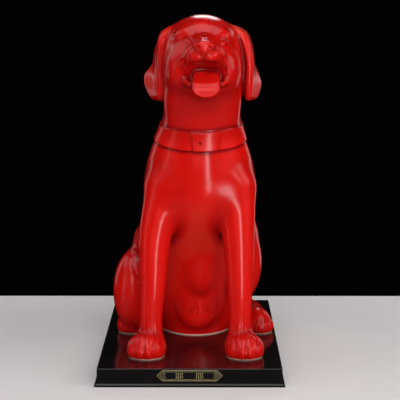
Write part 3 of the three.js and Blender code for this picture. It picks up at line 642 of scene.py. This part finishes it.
def carveFace():
    for side in (-1, 1):
        faceLine(side, face["muzzleCrease"], face["muzzleCreaseWidth"], face["muzzleCreaseDepth"], ends=0.2)
        faceLine(side, face["cheekCrease"], 1.8, face["cheekCreaseDepth"][side])
        for k in range(face["cheekHairs"]):
            out, z = 32 + 2.8 * k, 445 - 2.2 * k
            tip = random.uniform(*face["cheekHairLength"])
            hair = [(out, z), (out + 0.3 * tip, z - tip), (out + 0.5 * tip, z - 2.1 * tip)]
            faceLine(side, hair, 1.7, face["cheekHairDepth"])
        for k in range(face["earHairs"]):
            out = face["earHairSpread"][side] + 3.2 * k
            hair = [(out - 3, 466), (out, 446), (out + 1, 420), (out - 1, 394)]
            faceLine(side, hair, 1.6, face["earHairDepth"])
        for k in range(face["browHairs"]):
            hair = [(11 + 4 * k, 474 + k), (13 + 4 * k, 482), (16 + 4 * k, 489 - k)]
            faceLine(side, hair, 1.7, face["browHairDepth"])
    for k in range(face["wrinkles"]):  # between the eyes, over the nose
        z = 472.5 + 2.8 * k
        faceLine(1, [(-9 - k, z - 3), (0, z), (9 + k, z - 3)], 1.4, face["wrinkleDepth"])
    faceLine(1, face["noseArch"], 1.5, face["noseArchDepth"], ends=0.15)


# Short ridges stand on the lips, a ridge runs round the tongue's rim and a groove down its middle
lips = {"ridges": 5, "ridgeHeight": {-1: -0.3, 1: -0.7}, "rimHeight": -0.8, "grooveDepth": 0.9}


def carveMouth():
    for side in (-1, 1):
        for k in range(lips["ridges"]):
            out = 21 + 2.8 * k + side * tongue["shift"]
            ridge = [(out, 406 + 1.4 * k), (out + 0.8, 412 + 1.4 * k)]
            faceLine(side, ridge, 1.5, lips["ridgeHeight"][side])
    x = faceMiddle + tongue["shift"] - 0.8
    angles = np.linspace(0, math.pi, 13)
    rimHalf, rimZ, drop = tongue["rimHalf"], tongue["rimZ"], tongue["rimDrop"]
    rim = [(x + rimHalf * math.cos(a), -215, rimZ - drop * math.sin(a)) for a in angles]
    addStroke(rim, 1.3, lips["rimHeight"], ends=0.1)
    addStroke([(x, -150, 440), (x, -165, 440), (x, -176, 440)], 1.6, lips["grooveDepth"], toward=(0, 0, -1))


# Grooves fan over a paw. A front paw is met from above, a hind paw from the front, below the knee.
# A path is (share of the width, share of the length ahead, mm above the plinth)
pawGrooves = {"count": 7, "width": 1.7, "deep": 1.1, "shallow": 0.7}
fromAbove = {"toward": (0, 0.4, -0.9),
             "path": [(0.55, 0.35, 56), (0.8, 0.7, 56), (0.95, 1.0, 52), (1.0, 1.35, 34)]}
fromFront = {"toward": (0, 0.97, -0.2),
             "path": [(0.6, 2.0, 38), (0.8, 2.0, 27), (0.95, 2.0, 16), (1.0, 2.0, 6)]}


def carvePaw(x, y, heading, width, length, way):
    count = pawGrooves["count"]
    for k in range(count):
        share = (k + 0.5) / count - 0.5
        path = [(*pawPlace(x, y, heading, share * width * spread, length * ahead), body["plinthTop"] + up)
                for spread, ahead, up in way["path"]]
        depth = pawGrooves["deep"] if k % 2 else pawGrooves["shallow"]
        addStroke(path, pawGrooves["width"], depth, toward=way["toward"], ends=0.35)


bodyLines = {"haunchDepth": 1.6, "foldMiddle": 11, "foldSpread": (-13, -8, -3, 8, 13), "foldDepth": 1.0}


def carveBody():
    for side in (-1, 1):
        front, hind = frontPawSpec(side), hindPawSpec(side)
        carvePaw(front["x"], front["y"], front["heading"], front["width"], front["length"], fromAbove)
        carvePaw(hind["x"], hind["y"], hind["heading"], hind["width"], hind["length"], fromFront)
    addStroke([(-92, -215, 148), (-84, -215, 128), (-75, -215, 105)], 3, bodyLines["haunchDepth"])
    middle = bodyLines["foldMiddle"]
    for out in bodyLines["foldSpread"]:  # folds spread over the low mound of the belly
        fold = [(middle + 0.6 * out, -100, 77), (middle + out, -100, 68), (middle + 1.4 * out, -100, 57)]
        addStroke(fold, 2.0, bodyLines["foldDepth"])


carveEyes()
carveFace()
carveMouth()
carveBody()
layStrokes()
print("carving:", len(strokes), "strokes")


# The grid is uneven, finer round the head and paws: zones are (start, pitch) in mm
mesher = {
    "x": [(-134, 2.4), (-58, 1.15), (98, 2.4), (136, None)],
    "y": [(-206, 1.15), (-70, 1.7), (10, 2.4), (208, None)],
    "z": [(17, 1.3), (60, 2.4), (292, 1.25), (506, None)],
    "block": 8,
    "batch": 1500,
    "triangles": 196000,
    "quickCoarser": 1.7,
    "slopeStepMm": 0.35,
    "fitRounds": 2, "fitStepMm": 0.8,  # after thinning, the points are set back on the surface
    "poolReachMm": 3.0,
}


def gridLine(zones):
    coarser = 1
    line = []
    for (start, pitch), (end, _) in zip(zones[:-1], zones[1:]):
        count = math.ceil((end - start) / (pitch * coarser))
        line += list(start + (end - start) * np.arange(count) / count)
    step = line[-1] - line[-2]
    while len(line) % mesher["block"]:
        line.append(line[-1] + step)
    return np.array(line)


def fieldOnGrid(lines):
    block = mesher["block"]
    counts = [len(line) // block for line in lines]
    starts = [line.reshape(-1, block) for line in lines]
    index = np.stack(np.meshgrid(*[np.arange(c) for c in counts], indexing="ij"), -1).reshape(-1, 3)
    low = np.stack([starts[k][index[:, k], 0] for k in range(3)], -1)
    high = np.stack([starts[k][index[:, k], -1] for k in range(3)], -1)
    rough = formsDistance(((low + high) / 2)[:, None, :])[:, 0]
    near = np.nonzero(np.abs(rough) < np.linalg.norm(high - low, axis=1) * 0.9 + 3)[0]
    field = np.empty([len(line) for line in lines], np.float32)
    tiles = field.reshape(counts[0], block, counts[1], block, counts[2], block).transpose(0, 2, 4, 1, 3, 5)
    tiles[index[:, 0], index[:, 1], index[:, 2]] = rough[:, None, None, None]
    for first in range(0, len(near), mesher["batch"]):
        chosen = index[near[first:first + mesher["batch"]]]
        x = starts[0][chosen[:, 0]][:, :, None, None]
        y = starts[1][chosen[:, 1]][:, None, :, None]
        z = starts[2][chosen[:, 2]][:, None, None, :]
        p = np.stack(np.broadcast_arrays(x, y, z), -1).reshape(len(chosen), -1, 3)
        tiles[chosen[:, 0], chosen[:, 1], chosen[:, 2]] = dogDistance(p).reshape(-1, block, block, block)
    return field


# One point in each cell that the surface crosses, and one quad across each crossed edge
def netOf(field, lines):
    inside = field < 0
    count = np.zeros([n - 1 for n in field.shape], np.uint8)
    for i in (0, 1):
        for j in (0, 1):
            for k in (0, 1):
                count += inside[i:i + count.shape[0], j:j + count.shape[1], k:k + count.shape[2]]
    cells = np.stack(np.nonzero((count > 0) & (count < 8)), -1)
    number = np.full(count.shape, -1, np.int32)
    number[tuple(cells.T)] = np.arange(len(cells))
    total, hits = np.zeros((len(cells), 3)), np.zeros(len(cells))
    for axis in range(3):
        others = [k for k in range(3) if k != axis]
        for i in (0, 1):
            for j in (0, 1):
                start = cells.copy()
                start[:, others[0]] += i
                start[:, others[1]] += j
                end = start.copy()
                end[:, axis] += 1
                a, b = field[tuple(start.T)], field[tuple(end.T)]
                crossed = np.nonzero((a < 0) != (b < 0))[0]
                share = a[crossed] / (a[crossed] - b[crossed])
                for k in range(3):
                    near, far = lines[k][start[crossed, k]], lines[k][end[crossed, k]]
                    total[crossed, k] += near + (far - near) * share
                hits[crossed] += 1
    points = total / hits[:, None]
    quads = []
    for axis in range(3):
        b, c = (axis + 1) % 3, (axis + 2) % 3
        first = [slice(None)] * 3
        second = [slice(None)] * 3
        first[axis], second[axis] = slice(0, -1), slice(1, None)
        edges = np.stack(np.nonzero(inside[tuple(first)] != inside[tuple(second)]), -1)
        stepB, stepC = np.eye(3, dtype=int)[b], np.eye(3, dtype=int)[c]
        ring = [number[tuple((edges - step).T)] for step in (0 * stepB, stepB, stepB + stepC, stepC)]
        quad = np.stack(ring, -1)
        flip = ~inside[tuple(edges.T)]
        quad[flip] = quad[flip][:, ::-1]
        quads.append(quad)
    return points, np.vstack(quads)


def meshOf(name, points, faces):
    mesh = bpy.data.meshes.new(name)
    corners = faces.shape[1]
    mesh.vertices.add(len(points))
    mesh.vertices.foreach_set("co", (points * mm).ravel())
    mesh.loops.add(faces.size)
    mesh.loops.foreach_set("vertex_index", faces.ravel())
    mesh.polygons.add(len(faces))
    mesh.polygons.foreach_set("loop_start", np.arange(len(faces)) * corners)
    mesh.polygons.foreach_set("use_smooth", np.ones(len(faces), bool))
    mesh.update(calc_edges=True)
    return mesh


def slopeAt(p):
    h = mesher["slopeStepMm"]
    sides = [dogDistance(p + h * axis) - dogDistance(p - h * axis) for axis in np.eye(3)]
    return np.stack(sides, -1) / (2 * h)


def makeDog():
    lines = [gridLine(mesher[axis]) for axis in "xyz"]
    field = fieldOnGrid(lines)
    points, quads = netOf(field, lines)
    print("dog net:", len(points), "points")
    dense = addObject("denseDog", meshOf("denseDog", points, quads))
    thin = dense.modifiers.new("thin", "DECIMATE")
    thin.ratio = min(1, mesher["triangles"] / (2 * len(quads)))
    mesh = bpy.data.meshes.new_from_object(dense.evaluated_get(bpy.context.evaluated_depsgraph_get()))
    bpy.data.objects.remove(dense)
    mesh.name = "porcelainDog"
    piece = addObject("porcelainDog", mesh)
    spots = np.empty(len(mesh.vertices) * 3)
    mesh.vertices.foreach_get("co", spots)
    spots = spots.reshape(-1, 1, 3) / mm
    most, reach = mesher["fitStepMm"], mesher["poolReachMm"]
    for _ in range(mesher["fitRounds"]):
        slope = slopeAt(spots)
        steep = np.maximum((slope * slope).sum(-1, keepdims=True), 0.2)
        spots = spots - np.clip(dogDistance(spots)[..., None] / steep, -most, most) * slope
    spots[..., 2] = np.maximum(spots[..., 2], body["plinthTop"])
    mesh.vertices.foreach_set("co", (spots * mm).ravel())
    slope = slopeAt(spots)
    slope /= np.linalg.norm(slope, axis=-1, keepdims=True)
    hollow = (reach - dogDistance(spots + reach * slope)) / reach  # above 0 in hollows, where glaze pools
    pool = mesh.attributes.new("glazePool", "FLOAT", "POINT")
    pool.data.foreach_set("value", np.clip(hollow, -1, 1).ravel())
    mesh.update()
    mesh.normals_split_custom_set_from_vertices([tuple(n) for n in slope[:, 0, :]])
    print("dog mesh:", len(mesh.polygons), "faces")
    return piece


def connect(tree, node, links):
    for name, source in links.items():
        tree.links.new(source, node.inputs[name])


# Adds one shader node with its settings and links, by socket name, or by number where names repeat
def addNode(tree, kind, settings=None, links=None):
    node = tree.nodes.new("ShaderNode" + kind)
    for name, value in (settings or {}).items():
        if isinstance(name, int) or name in node.inputs:
            node.inputs[name].default_value = value
        else:
            setattr(node, name, value)
    connect(tree, node, links or {})
    return node


def newMaterial(name):
    material = bpy.data.materials.new(name)
    material.use_nodes = True
    tree = material.node_tree
    place = addNode(tree, "TexCoord").outputs["Object"]
    return material, tree, tree.nodes["Principled BSDF"], place


# Red glaze fired over cast porcelain: a thin clear gloss, deeper in colour where it pools and paler where
# it runs thin. It stops short of the foot, which shows a narrow rim of bare biscuit
redGlaze = {
    "color": "#B90D08", "poolColor": "#760202", "thinColor": "#D03828", "biscuit": "#D8B4A2",
    "thinAt": 0.22, "evenAt": 0.52, "poolAt": 0.78, "cloudMm": 30, "cloudShare": 0.16,
    "roughness": 0.25, "biscuitRoughness": 0.6, "ior": 1.45, "coat": 0.2, "coatRoughness": 0.08,
    "waveMm": 24, "waveDepthMm": 0.25, "peelMm": 3.0, "peelDepthMm": 0.006,
    "biscuitTopMm": 26.1, "biscuitFadeMm": 0.7,
}


def redGlazeMaterial():
    spec = redGlaze
    material, tree, shader, place = newMaterial("redPorcelainGlaze")
    shader.inputs["IOR"].default_value = spec["ior"]
    shader.inputs["Coat Weight"].default_value = spec["coat"]
    shader.inputs["Coat Roughness"].default_value = spec["coatRoughness"]
    pool = addNode(tree, "Attribute", {"attribute_name": "glazePool"})
    cloud = addNode(tree, "TexNoise", {"Scale": 1000 / spec["cloudMm"], "Detail": 3.0}, {"Vector": place})
    thick = addNode(tree, "Math", {"operation": "MULTIPLY_ADD", 1: spec["cloudShare"]},
                    {0: cloud.outputs["Fac"], 2: pool.outputs["Fac"]})
    middled = addNode(tree, "Math", {"operation": "MULTIPLY_ADD", 1: 0.5, 2: 0.5},
                      {0: thick.outputs["Value"]})
    ramp = addNode(tree, "ValToRGB", {}, {"Fac": middled.outputs["Value"]})
    stops = ramp.color_ramp.elements
    stops[0].position, stops[0].color = spec["thinAt"], linear(spec["thinColor"])
    stops[1].position, stops[1].color = spec["poolAt"], linear(spec["poolColor"])
    stops.new(spec["evenAt"]).color = linear(spec["color"])
    height = addNode(tree, "SeparateXYZ", {}, {"Vector": place})
    low, high = spec["biscuitTopMm"] * mm, (spec["biscuitTopMm"] + spec["biscuitFadeMm"]) * mm
    bare = addNode(tree, "MapRange", {"From Min": low, "From Max": high, "To Min": 1.0, "To Max": 0.0},
                   {"Value": height.outputs["Z"]})
    color = addNode(tree, "Mix", {"data_type": "RGBA", 7: linear(spec["biscuit"])},
                    {"Factor": bare.outputs["Result"], 6: ramp.outputs["Color"]})
    low, high = spec["roughness"], spec["biscuitRoughness"]
    rough = addNode(tree, "MapRange", {"To Min": low, "To Max": high}, {"Value": bare.outputs["Result"]})
    wave = addNode(tree, "TexNoise", {"Scale": 1000 / spec["waveMm"], "Detail": 1.0}, {"Vector": place})
    peel = addNode(tree, "TexNoise", {"Scale": 1000 / spec["peelMm"], "Detail": 1.0}, {"Vector": place})
    waveBump = addNode(tree, "Bump", {"Distance": spec["waveDepthMm"] * mm, "Strength": 1.0},
                       {"Height": wave.outputs["Fac"]})
    peelBump = addNode(tree, "Bump", {"Distance": spec["peelDepthMm"] * mm, "Strength": 1.0},
                       {"Height": peel.outputs["Fac"], "Normal": waveBump.outputs["Normal"]})
    connect(tree, shader, {"Base Color": color.outputs[2], "Roughness": rough.outputs["Result"],
                           "Normal": peelBump.outputs["Normal"], "Coat Normal": waveBump.outputs["Normal"]})
    return material


# A finish drifts between two close colours and two degrees of shine, in clouds of a real size
def driftOver(tree, shader, place, spec):
    cloud = addNode(tree, "TexNoise", {"Scale": 1000 / spec["cloudMm"], "Detail": spec["detail"]},
                    {"Vector": place})
    if "drift" in spec:
        tint = addNode(tree, "Mix", {"data_type": "RGBA", 6: linear(spec["color"]), 7: linear(spec["drift"])},
                       {"Factor": cloud.outputs["Fac"]})
        connect(tree, shader, {"Base Color": tint.outputs[2]})
    else:
        shader.inputs["Base Color"].default_value = linear(spec["color"])
    if isinstance(spec["roughness"], tuple):
        low, high = spec["roughness"]
        shine = addNode(tree, "MapRange", {"To Min": low, "To Max": high}, {"Value": cloud.outputs["Fac"]})
        connect(tree, shader, {"Roughness": shine.outputs["Result"]})
    else:
        shader.inputs["Roughness"].default_value = spec["roughness"]


# Black piano lacquer sprayed over fibreboard: near black, glossy, with a faint unevenness in its shine
blackLacquer = {"color": "#0B090A", "drift": "#151213", "roughness": (0.08, 0.15), "cloudMm": 60,
                "detail": 4.0, "waveMm": 45, "waveDepthMm": 0.05}


def blackLacquerMaterial():
    spec = blackLacquer
    material, tree, shader, place = newMaterial("blackPianoLacquer")
    driftOver(tree, shader, place, spec)
    wave = addNode(tree, "TexNoise", {"Scale": 1000 / spec["waveMm"], "Detail": 0.0}, {"Vector": place})
    bump = addNode(tree, "Bump", {"Distance": spec["waveDepthMm"] * mm, "Strength": 1.0},
                   {"Height": wave.outputs["Fac"]})
    connect(tree, shader, {"Normal": bump.outputs["Normal"]})
    return material


# Gilt paint: brass flakes in a clear binder, so the lines stay pale gold from every side. The grain is
# drawn coarser than real flakes so that it shows
giltPaint = {"color": "#C9B887", "drift": "#8A7A4C", "roughness": (0.3, 0.5), "cloudMm": 1.5, "detail": 3.0,
             "metal": 0.35}


def giltMaterial():
    material, tree, shader, place = newMaterial("giltPaint")
    shader.inputs["Metallic"].default_value = giltPaint["metal"]
    driftOver(tree, shader, place, giltPaint)
    return material


# Black enamel baked on the nameplate: smooth, a shade greyer than the lacquer around it
plateEnamel = {"color": "#0C0B10", "roughness": (0.2, 0.4), "cloudMm": 2.0, "detail": 2.0}


def enamelMaterial():
    material, tree, shader, place = newMaterial("blackPlateEnamel")
    driftOver(tree, shader, place, plateEnamel)
    return material


# Pale satin laminate on the table top, with faint cloudy shading
satinTable = {"color": "#DDD9D8", "drift": "#D1CDCD", "roughness": 0.55, "cloudMm": 250, "detail": 3.0}


def tableMaterial():
    material, tree, shader, place = newMaterial("paleSatinTable")
    driftOver(tree, shader, place, satinTable)
    return material


dog = makeDog()
dog.data.materials.append(redGlazeMaterial())
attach(dog, "root")
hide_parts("dog")
print("dog is glazed")

# The nameplate is drawn in its own plane in mm: u to the right, v up, w out from the plinth's front
plate = {
    "width": 92, "height": 16.6, "point": 8, "thick": 0.7, "bevel": (0.5, 0.3), "raise": 0.35,
    "backY": -201.5, "middleZ": 15.6,
    "rails": [(33, 7.1, 0.8), (31, 5.4, 0.45)],  # half length, height, line width
    "points": [(36.5, 44.2, 7, 0.8), (34.5, 40, 4.8, 0.6), (32, 36, 3.6, 0.5)],  # root, tip, half, width
    "curl": {"u": 34.6, "v": 6.4, "radius": 1.5, "corners": 8, "width": 0.6},
    "strokeGroups": (-14, 13.5), "strokesAcross": 4, "strokePitch": 2.7, "strokeRows": (-2.2, 2.2),
    "strokeHalf": 1.6, "strokeLean": 0.3, "strokeWidth": 1.0,
}


# A raised line along (u, v) points, flat on top with sloping sides
def raisedLine(points, width, closed=False):
    points = np.array(points, float)
    count = len(points)
    if closed:
        last, following = np.roll(points, 1, 0), np.roll(points, -1, 0)
    else:
        last = np.vstack([2 * points[:1] - points[1:2], points[:-1]])
        following = np.vstack([points[1:], 2 * points[-1:] - points[-2:-1]])
    before, after = points - last, following - points
    before /= np.linalg.norm(before, axis=1, keepdims=True)
    after /= np.linalg.norm(after, axis=1, keepdims=True)
    side = np.stack([-(before + after)[:, 1], (before + after)[:, 0]], 1)
    side /= np.linalg.norm(side, axis=1, keepdims=True)
    facing = (side * np.stack([-after[:, 1], after[:, 0]], 1)).sum(1)
    stretch = np.minimum(1 / np.maximum(facing, 0.3), 2)[:, None]  # keeps the width round a corner
    low, high = plate["thick"] - 0.1, plate["thick"] + plate["raise"]
    rings = [np.column_stack([points + side * stretch * width * across, np.full(count, w)])
             for across, w in ((-0.5, low), (-0.3, high), (0.3, high), (0.5, low))]
    spots = np.stack(rings, 1).reshape(-1, 3)
    faces = []
    for i in range(count if closed else count - 1):
        j = (i + 1) % count
        faces += [(4 * i + k, 4 * j + k, 4 * j + (k + 1) % 4, 4 * i + (k + 1) % 4) for k in range(4)]
    if not closed:
        end = 4 * (count - 1)
        faces += [(0, 1, 2, 3), (end + 3, end + 2, end + 1, end)]
    return spots, faces


def plateOutline(shrink):
    x, y = plate["width"] / 2 - shrink * 1.4, plate["height"] / 2 - shrink
    shoulder = x - plate["point"]
    return [(-x, 0), (-shoulder, -y), (shoulder, -y), (x, 0), (shoulder, y), (-shoulder, y)]


def plateLines():
    lines = []
    for v in (-1, 1):  # double rails along the top and bottom
        for long, up, width in plate["rails"]:
            lines.append(raisedLine([(-long, v * up), (long, v * up)], width))
    curl, radius = plate["curl"], plate["curl"]["radius"]
    turns = np.arange(curl["corners"]) * math.pi / (curl["corners"] / 2)
    for u in (-1, 1):  # nested points and curls at the ends
        for root, tip, half, width in plate["points"]:
            lines.append(raisedLine([(u * root, -half), (u * tip, 0), (u * root, half)], width))
        for v in (-1, 1):
            ring = [(u * (curl["u"] + radius * math.cos(a)), v * curl["v"] + radius * math.sin(a))
                    for a in turns]
            lines.append(raisedLine(ring, curl["width"], closed=True))
    half, lean = plate["strokeHalf"], plate["strokeLean"] * plate["strokeHalf"]
    for middle in plate["strokeGroups"]:  # two rows of plain strokes in place of each inscribed character
        for k in range(plate["strokesAcross"]):
            u = middle + (k - (plate["strokesAcross"] - 1) / 2) * plate["strokePitch"]
            for v in plate["strokeRows"]:
                lines.append(raisedLine([(u - lean, v - half), (u + lean, v + half)], plate["strokeWidth"]))
    return lines


def makeNameplate():
    inwards, down = plate["bevel"]
    outline, rim = plateOutline(0), plateOutline(inwards)
    spots = [(u, v, 0) for u, v in outline] + [(u, v, plate["thick"] - down) for u, v in outline]
    spots += [(u, v, plate["thick"]) for u, v in rim]
    faces = [(5, 4, 3, 2, 1, 0), (12, 13, 14, 15, 16, 17)]
    for ring in (0, 6):
        faces += [(ring + i, ring + (i + 1) % 6, ring + 6 + (i + 1) % 6, ring + 6 + i) for i in range(6)]
    gilt = [0] * len(faces)
    for lineSpots, lineFaces in plateLines():
        start = len(spots)
        spots += [tuple(spot) for spot in lineSpots]
        faces += [tuple(start + k for k in face) for face in lineFaces]
        gilt += [1] * len(lineFaces)
    spots = [(u * mm, (plate["backY"] - w) * mm, (plate["middleZ"] + v) * mm) for u, v, w in spots]
    mesh = bpy.data.meshes.new("nameplateRelief")
    mesh.from_pydata(spots, [], faces)
    mesh.materials.append(enamelMaterial())
    mesh.materials.append(giltMaterial())
    mesh.polygons.foreach_set("material_index", gilt)
    piece = addObject("nameplateRelief", mesh)
    bpy.context.view_layer.objects.active = piece
    bpy.ops.object.mode_set(mode="EDIT")
    bpy.ops.mesh.select_all(action="SELECT")
    bpy.ops.mesh.normals_make_consistent(inside=False)
    bpy.ops.object.mode_set(mode="OBJECT")
    return piece


nameplate = makeNameplate()
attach(nameplate, "root")
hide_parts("nameplate")
print("nameplate:", len(nameplate.data.polygons), "faces")

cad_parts["plinth"].material_slots[0].material = blackLacquerMaterial()
print("plinth is lacquered")

# The floor is a pale table top in metres that ends a little behind the plinth
table = {"halfWidth": 0.9, "front": -0.7, "back": 0.336}


def makeFloor():
    mesh = bpy.data.meshes.new("floor")
    wide, front, back = table["halfWidth"], table["front"], table["back"]
    corners = [(-wide, front, 0), (wide, front, 0), (wide, back, 0), (-wide, back, 0)]
    mesh.from_pydata(corners, [], [(0, 1, 2, 3)])
    mesh.materials.append(tableMaterial())
    item = addObject("floor", mesh)
    item.visible_glossy = False  # keeps the pale table out of the glaze
    return item


makeFloor()
print("floor is laid")
